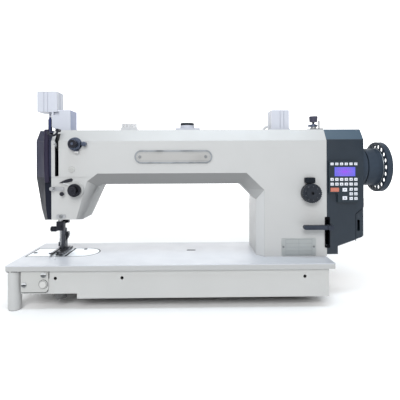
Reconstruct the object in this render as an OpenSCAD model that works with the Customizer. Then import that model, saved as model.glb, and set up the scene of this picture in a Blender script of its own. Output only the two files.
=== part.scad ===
// Long-arm leather sewing machine head with walking foot, air foot lift and direct drive motor.
// x runs from the needle end to the handwheel, y from the operator to the back, z up from the feet.

/* [Bed] */
// Length of the bed, needle end to column end, without the plate's overhang, mm
bed_length = 600; // [560:1:680]
// Depth of the bed plate, front to back, mm
bed_depth = 178; // [178:1:190]
// Thickness of the bed plate, mm
plate_thick = 10; // [9:0.5:12]
// Height of the skirt under the bed plate, mm
skirt_height = 52; // [50:1:60]
// Drop of the rest posts below the skirt, mm
post_drop = 21; // [16:1:30]
// Bore of the threaded holes in the front of the skirt, mm
skirt_bore = 6; // [4:0.5:8]

/* [Arm] */
// Clear height under the arm, bed top to underside, mm
throat_height = 144; // [140:1:160]
// Height of the arm, underside to top, mm
arm_height = 109; // [106:1:120]
// Wall thickness of the arm casting, mm
wall = 8; // [6:0.5:9]
// Diameter of the stitch length dial, mm
dial_diameter = 38; // [30:1:42]

/* [Needle end] */
// Travel of the needle bar, mm
needle_stroke = 34; // [30:1:35]
// Diameter of the needle blade, mm
needle_diameter = 2; // [1.2:0.1:2.4]
// Diameter of the needle bar, mm
needle_bar_diameter = 7; // [6.5:0.1:7.5]
// Diameter of the presser bar, mm
presser_bar_diameter = 9; // [8:0.1:9.5]
// Outer radius of the rotating hook, mm
hook_radius = 22; // [21:0.5:23]

/* [Drive] */
// Diameter of the handwheel, mm
wheel_diameter = 104; // [96:1:120]
// Number of openings round the handwheel
wheel_holes = 20; // [16:1:22]
// Diameter of the main shaft, mm
shaft_diameter = 15; // [12:0.5:16]
// Diameter of the lower shaft, mm
lower_shaft_diameter = 14; // [12:0.5:15]

/* [Hidden] */

$fn = 0;
$fa = 4;
$fs = 0.5;
eps = 0.01;
run_fit = 0.05;
gap = 0.4;

casting_colour = [0.84, 0.85, 0.86];
bed_colour = [0.88, 0.90, 0.93];
steel = [0.62, 0.64, 0.66];
dark_steel = [0.30, 0.31, 0.34];
black = [0.10, 0.11, 0.12];
slate = [0.25, 0.29, 0.34];
brass = [0.72, 0.60, 0.35];

// heights from the bed top
skirt_bottom = -plate_thick - skirt_height;
short_skirt_bottom = skirt_bottom + 9.5;
floor_z = skirt_bottom - post_drop;
arm_bottom = throat_height;
arm_top = throat_height + arm_height;
head_bottom = 75;
shaft_z = arm_bottom + 32;

// depths from the front edge of the bed plate
face_y = 50;
chamfer_y = 16;
arm_back_y = 146;
column_back_y = bed_depth - 4;
needle_y = 97;
lower_shaft_y = 120;
lower_shaft_z = -40;

// lengths from the needle end of the bed; its plate reaches out over the corner post, to x_min
needle_x = 59.5;
head_x = 59;
column_x = bed_length - 136;
casting_end = bed_length + 2;
cover_width = 74;
cover_end = casting_end + cover_width;
housing_end = cover_end + 14;
wheel_x = housing_end + 2;
flange_x = wheel_x + 30;
rim_width = 11;
wheel_boss = 6;
post_x = 6;
post_y = 13;
post_radius = 12;
x_min = post_x - post_radius;
x_max = flange_x + rim_width + wheel_boss;

module place() {
    translate([-(x_min + x_max) / 2, -bed_depth / 2, -floor_z]) children();
}

// cylinder along x, from x0 to x1
module rod_x(x0, x1, r) {
    translate([x0, 0, 0]) rotate([0, 90, 0]) cylinder(h = x1 - x0, r = r);
}

// cylinder along y, from y0 to y1
module rod_y(y0, y1, r) {
    translate([0, y1, 0]) rotate([90, 0, 0]) cylinder(h = y1 - y0, r = r);
}

// upright box between two corners
module block(a, b) {
    translate(a) cube(b - a);
}

// flat outline in x and z, from y0 to y1
module slab_y(outline, y0, y1) {
    translate([0, y1, 0]) rotate([90, 0, 0]) linear_extrude(y1 - y0) polygon(outline);
}

// rounded rectangle in x and z, from y0 to y1
module plate_y(x0, x1, z0, z1, r, y0, y1) {
    translate([0, y1, 0]) rotate([90, 0, 0]) linear_extrude(y1 - y0) round_rect(x0, x1, z0, z1, r);
}

module round_rect(x0, x1, y0, y1, r) {
    translate([x0 + r, y0]) square([x1 - x0 - 2 * r, y1 - y0]);
    translate([x0, y0 + r]) square([x1 - x0, y1 - y0 - 2 * r]);
    for (x = [x0 + r, x1 - r]) {
        for (y = [y0 + r, y1 - r]) {
            translate([x, y]) circle(r = r);
        }
    }
}

// moves each side of an outline inwards; the outline runs anticlockwise
function unit(v) = v / norm(v);
function side_normal(p, i) = let (d = unit(p[(i + 1) % len(p)] - p[i])) [-d[1], d[0]];
function inset(p, d) = [for (i = [0:len(p) - 1])
    let (a = side_normal(p, (i + len(p) - 1) % len(p)), b = side_normal(p, i))
    p[i] + d * (a + b) / (1 + a * b)];

// solid with a flat front, a wide middle and a flat back, all with the same number of corners
module chamfered(front, middle, y0, y1, depth) {
    n = len(front);
    rings = [
        [for (p = front) [p[0], y0, p[1]]],
        [for (p = middle) [p[0], y0 + depth, p[1]]],
        [for (p = middle) [p[0], y1 - depth, p[1]]],
        [for (p = front) [p[0], y1, p[1]]]
    ];
    points = [for (ring = rings) for (p = ring) p];
    bands = [for (k = [0:2]) for (i = [0:n - 1]) let (j = (i + 1) % n)
        for (t = [[k * n + i, k * n + j, (k + 1) * n + j], [k * n + i, (k + 1) * n + j, (k + 1) * n + i]])
        t];
    polyhedron(points, concat([[for (i = [n - 1:-1:0]) i]], [[for (i = [0:n - 1]) 3 * n + i]], bands), 10);
}

// ---- bed ----

window_x0 = 8;
plate_x0 = 2;
round_x = 107;
round_y = 97.5;
round_radius = 32;
recess = 3.5;
belt_x = column_x + 56;

module hook_window(shrink, z0, z1) {
    block([plate_x0 + shrink, round_y - round_radius + shrink, z0],
        [round_x, round_y + round_radius - shrink, z1]);
    translate([round_x, round_y, z0]) cylinder(h = z1 - z0, r = round_radius - shrink);
}

bearing_webs = [150, column_x + 20];

module bed_casting() {
    inner = 7;
    color(bed_colour) place() difference() {
        union() {
            translate([0, 0, -plate_thick]) linear_extrude(plate_thick)
                round_rect(x_min, bed_length, 0, bed_depth, 3);
            difference() {
                block([21, 5, skirt_bottom], [bed_length - 11, bed_depth - 5, -plate_thick]);
                block([21 + inner, 5 + inner, skirt_bottom - 1],
                    [bed_length - 11 - inner, bed_depth - 5 - inner, -plate_thick + 1]);
                block([20, 4, skirt_bottom - 1], [123, bed_depth, short_skirt_bottom]);
            }
            for (x = bearing_webs) {
                block([x, 5, lower_shaft_z - 12], [x + 10, bed_depth - 5, -plate_thick]);
            }
            block([70, 50, -31], [96, 69, -plate_thick]);
            block([70, 68, -31], [96, 106, -24.6]);
            for (y = [55, 130]) {
                block([28, y, -32], [44, y + 9, -plate_thick]);
            }
            translate([36, 55, -24]) rod_y(0, 84, 4);
            for (x = [75, bed_length - 70]) {
                block([x - 14, bed_depth - 24, -34], [x + 14, bed_depth - 6, -plate_thick]);
            }
        }
        hook_window(0, -recess, 1);
        block([window_x0, round_y - 26, -plate_thick - 1], [round_x, round_y + 26, 0]);
        translate([round_x - 2, round_y, -plate_thick - 1]) cylinder(h = plate_thick + 2, r = 26);
        block([belt_x - 18, 66, -plate_thick - 1], [belt_x + 18, 152, 1]);
        for (x = bearing_webs) {
            translate([0, lower_shaft_y, lower_shaft_z])
                rod_x(x - 1, x + 11, lower_shaft_diameter / 2 + run_fit);
        }
        translate([83, needle_y, -32]) cylinder(h = 8, r = 4 + run_fit);
        for (x = [83.6, 205.7, bed_length - 56]) {
            translate([x, 0, -24.5]) rod_y(4, 20, skirt_bore / 2);
        }
        translate([62.4, 0, -34.3]) rod_y(4, 13, 9);
        for (x = [75, bed_length - 70]) {
            translate([x, 0, -22]) rod_y(bed_depth - 26, bed_depth + 1, 6);
        }
        translate([67.5, 46, -plate_thick - 1]) cylinder(h = plate_thick + 2, r = 2.5);
        for (x = [326, 338]) {
            translate([x, 107.3, -4]) cylinder(h = 5, r = 4);
        }
        block([326, 103.3, -4], [338, 111.3, 1]);
        block([bed_length - 60, 167, -50], [bed_length - 40, 179, -35]);
    }
}

post_spots = [
    [post_x, post_y], [40, bed_depth - 24], [bed_length - 40, bed_depth - 30], [bed_length - 40, 84]
];

module rest_post() {
    color(casting_colour) place() for (p = post_spots) {
        translate([p[0], p[1], floor_z]) {
            cylinder(h = 3, r1 = post_radius - 1.5, r2 = post_radius);
            translate([0, 0, 3]) cylinder(h = -plate_thick - floor_z - 3, r = post_radius);
        }
    }
}

module rubber_foot() {
    color(black) place() translate([88, 20, 0]) {
        translate([0, 0, short_skirt_bottom - 12]) cylinder(h = 12, r1 = 10.6, r2 = 12);
        translate([0, 0, short_skirt_bottom]) cylinder(h = -plate_thick - short_skirt_bottom, r = 5);
    }
}

module skirt_cover_plate() {
    color(casting_colour) place() difference() {
        union() {
            plate_y(21.5, 71.5, -50, -11.5, 7, 3, 5);
            block([21.5, 3, -50], [40, 5, -11.5]);
            translate([62.4, 0, -34.3]) rod_y(2, 5, 7.6);
            translate([62.4, 0, -34.3]) rod_y(5, 12, 8.6);
        }
        translate([62.4, 0, -34.3]) rod_y(0, 10, 5.8 + gap);
    }
}

module side_button() {
    color(bed_colour) place() translate([62.4, 0, -34.3]) {
        rod_y(0.6, 6.6, 5.8);
    }
}

// ---- stitch plates, hook and feed ----

seam_x = 78.8;
seam_gap = 2.2;
plate_screw = [8, 94.4];
cover_screw = [103.7, 122];

module needle_plate() {
    color(steel) place() difference() {
        union() {
            block([plate_x0 + 0.2, round_y - round_radius + 0.2, -recess],
                [seam_x, round_y + round_radius - 0.2, 0]);
            block([67, 95, -5], [71, 99, -recess + eps]);
        }
        block([needle_x - 5, 78, -recess - 1], [needle_x + 5, 116, 1]);
        translate([plate_screw[0], plate_screw[1], -0.8]) cylinder(h = 2, r = 3.8);
    }
}

module hook_cover_plate() {
    color(steel) place() difference() {
        union() {
            block([seam_x + seam_gap, round_y - round_radius + 0.2, -recess],
                [round_x, round_y + round_radius - 0.2, 0]);
            translate([round_x, round_y, -recess]) cylinder(h = recess, r = round_radius - 0.2);
        }
        block([60, 60, -recess - 1], [seam_x + seam_gap, 140, 1]);
        translate([cover_screw[0], cover_screw[1], -0.8]) cylinder(h = 2, r = 3.8);
    }
}

module feed_dog() {
    color(dark_steel) place() difference() {
        union() {
            block([needle_x - 4, 84, -7.5], [needle_x + 4, 110, 0]);
            for (k = [0:11]) {
                translate([0, 84.5 + 2.1 * k, 0])
                    slab_x([[0, -0.1], [1.9, -0.1], [1.9, 0.8]], needle_x - 4, needle_x + 4);
            }
        }
        translate([needle_x, needle_y, -9]) cylinder(h = 12, r = 2);
    }
}

// flat outline in y and z, from x0 to x1
module slab_x(outline, x0, x1) {
    translate([x0, 0, 0]) rotate([90, 0, 90]) linear_extrude(x1 - x0) polygon(outline);
}

module feed_bar() {
    color(dark_steel) place() difference() {
        union() {
            block([28, 86, -7.5], [needle_x - 4, 108, -recess - 0.3]);
            block([28, 84, -31], [44, 110, -7.5 + eps]);
        }
        translate([36, 0, -24]) rod_y(80, 114, 4 + run_fit);
    }
}

hook_x = 83;
hook_inner = hook_radius - 3;

module hook() {
    color(steel) place() translate([hook_x, needle_y, 0]) {
        difference() {
            translate([0, 0, -22]) cylinder(h = 13, r = hook_radius);
            translate([0, 0, -19]) cylinder(h = 11, r = hook_inner);
            rotate([0, 0, 35]) block([hook_inner - 4, -4, -14], [hook_radius + 4, 7, -8]);
            rotate([0, 0, 215]) block([hook_inner - 4, -7, -16], [hook_radius + 4, 7, -11]);
        }
        translate([0, 0, -24.2]) cylinder(h = 2.3, r = 7);
        translate([0, 0, -52]) cylinder(h = 30, r = 4);
        difference() {
            translate([0, 0, -47]) cylinder(h = 14, r = 8.6);
            for (a = [0:30:330]) {
                rotate([0, 0, a]) translate([8.9, 0, -48]) rotate([20, 0, 0])
                    cylinder(h = 18, r = 1, $fn = 6);
            }
        }
    }
}

module bobbin_case() {
    color(steel) place() translate([hook_x, needle_y, 0]) difference() {
        union() {
            translate([0, 0, -18.7]) cylinder(h = 13.7, r = hook_inner - gap);
        }
        translate([0, 0, -16.7]) cylinder(h = 13, r = hook_inner - gap - 2);
        rotate([0, 0, 250]) block([10, -1, -12], [20, 1, -4]);
    }
}

module bobbin() {
    bobbin_radius = hook_inner - 3.2;
    color(brass) place() translate([hook_x, needle_y, -16.4]) rotate_extrude() polygon([
        [3, 0], [bobbin_radius, 0], [bobbin_radius, 1], [5, 1],
        [5, 9.4], [bobbin_radius, 9.4], [bobbin_radius, 10.4], [3, 10.4]
    ]);
}

module lower_shaft() {
    color(steel) place() translate([0, lower_shaft_y, lower_shaft_z]) {
        rod_x(70, column_x + 72, lower_shaft_diameter / 2);
        difference() {
            rod_x(76, 90, 13.8);
            for (a = [0:15:345]) {
                rotate([a, 0, 0]) translate([75, 0, 14.3]) rotate([0, 90, 20])
                    cylinder(h = 18, r = 1, $fn = 6);
            }
        }
        rod_x(134, 149.4, 11);
    }
}

pulley_radius = 17;
belt_thick = 2;

module pulley() {
    difference() {
        union() {
            rod_x(-10, 10, pulley_radius);
            for (x = [-11.5, 10]) {
                rod_x(x, x + 1.5, pulley_radius + 2);
            }
        }
        rod_x(-12, 12, 6);
    }
}

module lower_pulley() {
    color(dark_steel) place() translate([belt_x, lower_shaft_y, lower_shaft_z]) difference() {
        pulley();
        rod_x(-12, 12, lower_shaft_diameter / 2);
    }
}

module upper_pulley() {
    color(dark_steel) place() translate([belt_x, needle_y, shaft_z]) difference() {
        pulley();
        rod_x(-12, 12, shaft_diameter / 2);
    }
}

module timing_belt() {
    span = norm([needle_y - lower_shaft_y, shaft_z - lower_shaft_z]);
    lean = atan2(lower_shaft_y - needle_y, shaft_z - lower_shaft_z);
    r = pulley_radius + 0.3;
    color(black) place() translate([belt_x, lower_shaft_y, lower_shaft_z]) rotate([lean, 0, 0]) difference() {
        union() {
            rod_x(-9, 9, r + belt_thick);
            translate([0, 0, span]) rod_x(-9, 9, r + belt_thick);
            block([-9, -r - belt_thick, 0], [9, r + belt_thick, span]);
        }
        rod_x(-10, 10, r);
        translate([0, 0, span]) rod_x(-10, 10, r);
        block([-10, -r, 0], [10, r, span]);
    }
}

// ---- drive ----

module main_shaft() {
    color(steel) place() translate([0, needle_y, shaft_z]) {
        rod_x(74, flange_x - 1, shaft_diameter / 2);
        difference() {
            rod_x(74, 83, 18);
            translate([0, 0, -14]) rod_x(73, 84, 3);
        }
        rod_x(casting_end + 52, housing_end - 12, 22);
        rod_x(column_x + 30.6, column_x + 38, 11);
    }
}

// ---- needle end ----

frame_pivot_y = 103;
frame_pivot_z = arm_bottom + 88;
foot_bar_y = 110;
presser_x = needle_x - 6;
presser_y = 128;
rod_point = [40, 93];
bar_bottom = 46;
bar_top = 190;
clamp_z = 49;

module needle_frame() {
    color(dark_steel) place() difference() {
        union() {
            block([needle_x - 6, 91, 205], [needle_x + 6, 117, frame_pivot_z - 7]);
            translate([0, frame_pivot_y, frame_pivot_z]) rod_x(needle_x - 6, needle_x + 6, 9);
            block([needle_x - 6, 102, 80], [needle_x + 6, 117, 206]);
            block([needle_x - 8, 90, 76], [needle_x + 8, 117, 92]);
            block([needle_x - 8, 105, 59], [needle_x + 8, 117, 77]);
            translate([0, 111, 64]) rod_x(needle_x + 7, needle_x + 12.5, 4.6);
            block([needle_x - 6, 90, 140], [needle_x + 6, 117, 152]);
        }
        translate([needle_x, needle_y, 60]) cylinder(h = 100, r = needle_bar_diameter / 2 + run_fit);
        translate([needle_x, foot_bar_y, 50]) cylinder(h = 162, r = 3 + run_fit);
        translate([0, frame_pivot_y, frame_pivot_z]) rod_x(needle_x - 7, needle_x + 7, 4 + run_fit);
    }
}

module needle_bar() {
    color(steel) place() difference() {
        translate([needle_x, needle_y, bar_bottom])
            cylinder(h = bar_top - bar_bottom, r = needle_bar_diameter / 2);
        translate([needle_x, needle_y, bar_bottom - 1]) cylinder(h = 15, r = needle_diameter / 2);
    }
}

needle_top = 60;
needle_tip = 8;
point_length = 8;

module needle() {
    color(steel) place() translate([needle_x, needle_y, needle_tip]) {
        cylinder(h = point_length, r1 = 0.2, r2 = needle_diameter / 2);
        translate([0, 0, point_length])
            cylinder(h = needle_top - needle_tip - point_length, r = needle_diameter / 2);
    }
}

module needle_clamp() {
    color(dark_steel) place() difference() {
        union() {
            block([needle_x - 7, needle_y - 6, bar_bottom + 0.5],
                [needle_x + 8, needle_y + 5.5, bar_bottom + 19]);
            translate([0, needle_y, clamp_z]) rod_x(needle_x - 9, needle_x - 6, 4);
            translate([needle_x + 1.5, 0, clamp_z + 4]) rod_y(needle_y - 8, needle_y - 5, 2.6);
        }
        translate([needle_x, needle_y, bar_bottom]) cylinder(h = 20, r = needle_bar_diameter / 2);
        translate([needle_x + 1.5, 0, clamp_z + 4]) rod_y(needle_y - 9, needle_y - 7, 1.3);
    }
}

module thumb_screw() {
    color(dark_steel) place() translate([0, needle_y, clamp_z]) {
        rod_x(needle_x - 20, needle_x - 9, 5);
        for (a = [0:20:340]) {
            rotate([a, 0, 0]) translate([0, 0, 4.9]) rod_x(needle_x - 19.2, needle_x - 10, 0.7);
        }
    }
}

module inner_foot() {
    color(dark_steel) place() difference() {
        union() {
            translate([needle_x, foot_bar_y, 16]) cylinder(h = 16, r = 5);
            translate([needle_x, foot_bar_y, 22]) cylinder(h = 178, r = 3);
            block([needle_x - 3.5, foot_bar_y - 2, 3.5], [needle_x + 3.5, foot_bar_y + 4, 20]);
            block([needle_x - 5, 86, 1], [needle_x + 5, foot_bar_y + 4, 4]);
            slab_x([[86, 1], [86, 4], [80, 6.5], [79, 5]], needle_x - 5, needle_x + 5);
            block([needle_x - 9, foot_bar_y - 3, 10], [needle_x - 3, foot_bar_y + 3, 19]);
        }
        translate([needle_x, needle_y, -1]) cylinder(h = 8, r = 1.8);
    }
}

module presser_bar() {
    color(steel) place() translate([presser_x, presser_y, 30])
        cylinder(h = arm_top - 35 - 30, r = presser_bar_diameter / 2);
}

// toes of the outer foot: where each starts in x, and its width
outer_toes = [[needle_x - 13.4, 4.1], [needle_x + 6.1, 6.4]];

module outer_foot() {
    toe_end = 68;
    color(dark_steel) place() difference() {
        union() {
            translate([presser_x, presser_y, 20]) cylinder(h = 25, r = 7.5);
            block([presser_x - 6, presser_y - 6, 2], [presser_x + 7, presser_y + 6, 24]);
            slab_y([[presser_x + 5, 14], [presser_x + 12, 27], [presser_x + 13.5, 33], [presser_x + 12, 38],
                [presser_x + 5, 38]], presser_y - 5, presser_y + 3);
            block([needle_x - 13.4, presser_y - 9, 1], [needle_x + 12.5, presser_y + 6, 5]);
            for (toe = outer_toes) {
                block([toe[0], toe_end + 6, 1], [toe[0] + toe[1], presser_y - 8, 4]);
                slab_x([[toe_end + 7, 1], [toe_end + 7, 4], [toe_end, 6.5], [toe_end - 1, 5]],
                    toe[0], toe[0] + toe[1]);
            }
            block([needle_x + 6.1, 107, 3.5], [needle_x + 12.5, 118, 9]);
        }
        translate([presser_x, presser_y, 30]) cylinder(h = 20, r = presser_bar_diameter / 2);
    }
}

piston_z = arm_top + 52;
rod_step = arm_top + 25;
rod_radius = 2.6;

module lift_rod() {
    color(dark_steel) place() {
        translate([rod_point[0], rod_point[1], 160]) cylinder(h = rod_step - 160, r = 4);
        translate([rod_point[0], rod_point[1], rod_step - 1])
            cylinder(h = piston_z - rod_step + 2, r = rod_radius);
        translate([rod_point[0], rod_point[1], piston_z]) cylinder(h = 8, r = 12.9);
        difference() {
            union() {
                translate([rod_point[0], rod_point[1], 156]) cylinder(h = 12, r = 8);
                block([34, rod_point[1] - 4, 156], [51, rod_point[1] + 4, 166]);
                block([43, rod_point[1], 156], [51, presser_y + 6, 166]);
                translate([presser_x, presser_y, 156]) cylinder(h = 12, r = 8);
            }
            translate([presser_x, presser_y, 150]) cylinder(h = 20, r = presser_bar_diameter / 2);
        }
    }
}

cylinder_z0 = arm_top + 38;
cylinder_z1 = arm_top + 80;

module lift_cylinder() {
    color(casting_colour) place() difference() {
        block([21, 75, cylinder_z0], [61, 111, cylinder_z1]);
        translate([rod_point[0], rod_point[1], cylinder_z0 - 1]) cylinder(h = 7, r = rod_radius + run_fit);
        translate([rod_point[0], rod_point[1], cylinder_z0 + 5]) cylinder(h = 32, r = 13);
        for (x = [35, 42.5]) {
            block([x - 1, 74, cylinder_z0 - 1], [x + 1, 76.2, cylinder_z1 + 1]);
        }
        block([59.8, 90, cylinder_z0 - 1], [62, 93, cylinder_z1 + 1]);
        for (z = [cylinder_z0 + 9, cylinder_z1 - 9]) {
            translate([rod_point[0], 0, z]) rod_y(104, 112, 3);
        }
    }
}

module lift_bracket() {
    color(casting_colour) place() difference() {
        union() {
            block([50, 75, arm_top], [88, 114.5, cylinder_z0]);
            block([61.4, 75, cylinder_z0 - 1], [88, 114.5, cylinder_z0 + 4]);
        }
        block([54, 74, arm_top + 31], [65, 80, arm_top + 38]);
        block([56, 81, arm_top + 6], [82, 116, cylinder_z0 - 5]);
        slab_y([[49, arm_top - 1], [63, arm_top - 1], [49, arm_top + 8]], 74, 116);
    }
}

// ---- arm, head and column ----

front_outline = [
    [head_x, head_bottom + 1], [107, head_bottom + 1], [129, arm_bottom + 7], [149, arm_bottom + 22],
    [column_x - 21, arm_bottom + 22], [column_x + 14, arm_bottom - 12], [column_x + 14, 0],
    [casting_end, 0], [casting_end, arm_top - 23], [head_x, arm_top - 23]
];
middle_outline = [
    [head_x, head_bottom - 2], [115, head_bottom - 1], [146, arm_bottom - 5], [156, arm_bottom],
    [column_x - 32, arm_bottom], [column_x, arm_bottom - 32], [column_x, 0],
    [casting_end, 0], [casting_end, arm_top], [head_x, arm_top]
];

lip = 0.5;

// the column's deeper back half, with the same bevels as the arm
module column_back(x0, x1, y0, y1, z0, z1) {
    intersection() {
        translate([0, 0, z0]) linear_extrude(z1 - z0) polygon([
            [x0, y0], [x1, y0], [x1, y1], [x0 + 14, y1], [x0, y1 - chamfer_y]
        ]);
        slab_x([[y0, z0], [y1, z0], [y1, z1 - 23], [y1 - chamfer_y, z1], [y0, z1]], x0 - 1, x1 + 1);
    }
}

module casting_cavity() {
    web = 10;
    difference() {
        union() {
            chamfered(inset(front_outline, wall), inset(middle_outline, wall),
                face_y + wall + lip, arm_back_y - wall - lip, chamfer_y - 2);
            slab_y(inset(front_outline, wall), face_y + wall, arm_back_y - wall);
            column_back(column_x + wall, casting_end - wall, 100, column_back_y - wall, -1, arm_top - wall);
            block([column_x + 14 + wall, face_y + wall + 6, -1], [casting_end - wall - 1, 120, 2 * wall]);
            block([head_x - 1, 61, head_bottom + 13], [head_x + 2 * wall, arm_back_y - 9, arm_top - 31]);
            block([head_x - 1, 70, arm_top - 32], [head_x + 2 * wall, 126, arm_top - wall]);
        }
        block([84, 40, 60], [84 + web, 160, 260]);
        block([column_x + 20, 40, 60], [column_x + 20 + web, column_back_y + 1, arm_top + 1]);
    }
}

// height of the fine seam across the head's face
seam_z = arm_bottom + 15;

module arm_casting() {
    color(casting_colour) place() difference() {
        union() {
            difference() {
                union() {
                    chamfered(front_outline, middle_outline, face_y + lip, arm_back_y - lip, chamfer_y - lip);
                    slab_y(front_outline, face_y, face_y + 3);
                    slab_y(front_outline, arm_back_y - 3, arm_back_y);
                    column_back(column_x, casting_end, 100, column_back_y, 0, arm_top);
                }
                casting_cavity();
            }
            block([36, 80, head_bottom], [head_x + 12, 137, head_bottom + 13]);
            block([50, 92, arm_top - 10], [head_x + 2 * wall, 114, arm_top - 7]);
            block([50, 92, arm_top - 31], [53, 114, arm_top - 8]);
            block([66, 92, arm_top - 31], [70, 114, arm_top - 8]);
            block([presser_x - 7, 118, arm_top - 31], [head_x + 2 * wall, arm_back_y - 8, arm_top - 25]);
            block([column_x + 108, face_y + wall - 1, 50], [casting_end - wall + 1, 90, 71]);
            translate([lower_point[0], 0, lower_point[1]]) rod_y(face_y - 4, face_y + 1, 16);
        }
        block([needle_x - 9.5, 84, head_bottom - 4], [needle_x + 9.5, 121, head_bottom + 14]);
        for (span = [[head_bottom - 4, 18], [arm_top - 60, 53]]) {
            translate([presser_x, presser_y, span[0]])
                cylinder(h = span[1], r = presser_bar_diameter / 2 + run_fit);
        }
        translate([0, needle_y, shaft_z]) rod_x(83, 95, shaft_diameter / 2 + run_fit);
        translate([0, needle_y, shaft_z]) rod_x(column_x + 19, casting_end + 1, shaft_diameter / 2 + run_fit);
        translate([0, 95, shaft_z + 24]) rod_x(83, 95, 4 + run_fit);
        translate([0, frame_pivot_y, frame_pivot_z]) rod_x(49, 71, 4);
        block([66, 49, arm_top - 24 - 2 * needle_stroke], [73.2, 63, arm_top - 8]);
        block([head_x - 1, face_y - 1, seam_z - 0.5], [137, face_y + 0.7, seam_z + 0.5]);
        block([140, 72, arm_top - 3], [column_x + 4, 140, arm_top + 1]);
        block([150, 80, arm_top - wall - 1], [column_x - 10, 132, arm_top - 2]);
        translate([dial_x, 0, dial_z]) rod_y(face_y - 1, face_y + 20, 6 + run_fit);
        lever_pocket();
        translate([0, reverse_pivot_y, reverse_z]) rod_x(column_x + 105, slot_x - 3, 4 + run_fit);
        translate([upper_point[0], 0, upper_point[1]]) rod_y(face_y - 1, face_y + wall + 2, 2.5);
        translate([lower_point[0], 0, lower_point[1]]) rod_y(face_y - 5, face_y + wall + 2, 3);
    }
}

cover_front = [
    [51, head_bottom + 2], [head_x, head_bottom + 2], [head_x, arm_top - 21], [51, arm_top - 21],
    [47, arm_bottom + 84], [46, arm_bottom + 16], [48, head_bottom + 30]
];
cover_middle = [
    [34, head_bottom - 4], [head_x, head_bottom - 4], [head_x, arm_top], [25, arm_top],
    [17, arm_bottom + 88], [17, arm_bottom + 14], [28, head_bottom + 18]
];

module face_cover() {
    color(black) place() difference() {
        chamfered(cover_front, cover_middle, face_y, arm_back_y, 30);
        chamfered(inset(cover_front, 2.5), inset(cover_middle, 3), face_y + 3, arm_back_y - 3, 28.6);
        block([head_x - 5, face_y + 4, head_bottom - 1], [head_x + 1, arm_back_y - 4, arm_top - 24]);
        block([presser_x - 8, 66, head_bottom - 1], [head_x + 1, arm_back_y - 10, arm_top - 5]);
        block([35.4, 79, head_bottom - 6], [head_x + 1, 138, head_bottom + 14]);
        translate([rod_point[0], rod_point[1], arm_top - 10]) cylinder(h = 20, r = 5.2);
    }
}

module arm_top_cover() {
    color(casting_colour) place() difference() {
        block([140.3, 72.3, arm_top - 3], [column_x + 3.7, 139.7, arm_top]);
        for (x = [147, column_x - 3]) {
            for (y = [77, 135]) {
                translate([x, y, arm_top - 4]) cylinder(h = 5, r = 2);
            }
        }
    }
}

// ---- plates and fasteners ----

badge_x0 = 222;
badge_x1 = 375;
badge_z = arm_bottom + 54.5;
rating_x0 = column_x + 48;
rating_x1 = column_x + 116;

module badge_plate() {
    color(steel) place() difference() {
        plate_y(badge_x0, badge_x1, badge_z - 13, badge_z + 13, 12.9, face_y - 1.6, face_y);
        plate_y(badge_x0 + 3, badge_x1 - 3, badge_z - 10, badge_z + 10, 9.9, face_y - 2, face_y - 1.1);
    }
}

module rating_plate() {
    color(steel) place() plate_y(rating_x0, rating_x1, 1.5, 36, 1.5, face_y - 0.8, face_y);
}

// slotted cheese head on a front face at depth y
module screw_head(x, y, z, r, turn) {
    translate([x, 0, z]) difference() {
        rod_y(y - 1.8, y, r);
        rotate([0, turn, 0]) block([-r - 1, y - 2, -0.6], [r + 1, y - 1, 0.6]);
    }
}

// skirt cover and plate screws, head screws, and the rivets of the two plates
module fasteners() {
    color(steel) place() {
        screw_head(63, 3, -17.2, 5, 90);
        screw_head(27.4, 3, -35, 4.6, -20);
        for (p = [plate_screw, cover_screw]) {
            translate([p[0], p[1], -0.8]) difference() {
                cylinder(h = 1.6, r = 3.6);
                rotate([0, 0, 40]) block([-5, -0.6, 0.9], [5, 0.6, 3]);
            }
        }
        screw_head(99, face_y, arm_bottom + 30, 5.4, 0);
        screw_head(78, face_y - 1.6, head_bottom + 7.3, 3.3, 60);
        for (x = [badge_x0 + 10.5, badge_x1 - 13]) {
            translate([x, 0, badge_z]) rod_y(face_y - 2.8, face_y - 1.1, 3);
        }
        for (x = [rating_x0 + 3.2, rating_x1 - 4.3]) {
            translate([x, 0, 19.5]) rod_y(face_y - 2, face_y - 0.8, 2);
        }
    }
}

// ---- thread parts on the head ----

lever_point = [95, shaft_z + 24];

module take_up_lever() {
    rise = 24.6;
    color(steel) place() {
        translate([0, lever_point[0], lever_point[1]]) {
            difference() {
                union() {
                    rod_x(67, 71.6, 8);
                    rotate([-rise, 0, 0])
                        slab_x([[0, -6], [0, 6], [-50, 3], [-64, 3], [-64, -3], [-50, -3]], 68.5, 70.7);
                }
                rotate([-rise, 0, 0]) translate([0, -59, 0]) rod_x(66, 73, 1.6);
            }
            rod_x(71, 94, 4);
        }
    }
}

// round knob with small ribs about the y axis
module ribbed_knob(y0, y1, r, ribs) {
    rod_y(y0, y1, r);
    for (a = [0:360 / ribs:359]) {
        rotate([0, a, 0]) translate([r - 0.2, 0, 0]) rod_y(y0 + 0.6, y1 - 0.6, 0.8);
    }
}

upper_point = [106, arm_top - 29];
lower_point = [107, 134];

module upper_tension() {
    color(steel) place() translate([upper_point[0], 0, upper_point[1]]) {
        rod_y(face_y - 20, face_y + 6, 2.5);
        rod_y(face_y - 1.6, face_y, 13.4);
        for (y = [face_y - 6.4, face_y - 9]) {
            rod_y(y, y + 1.6, 12);
        }
        rod_y(face_y - 10, face_y - 1, 4.5);
        block([10, face_y - 4, -2.5], [20, face_y - 1, 2.5]);
        translate([19, 0, 0]) rod_y(face_y - 9, face_y - 1, 4.4);
        plate_y(-1, 8, -18, -13, 2, face_y - 6, face_y);
    }
}

module upper_tension_knob() {
    color(dark_steel) place() translate([upper_point[0], 0, upper_point[1]]) difference() {
        ribbed_knob(face_y - 19, face_y - 10.4, 7.6, 15);
        rod_y(face_y - 30, face_y, 2.5 + run_fit);
    }
}

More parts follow.
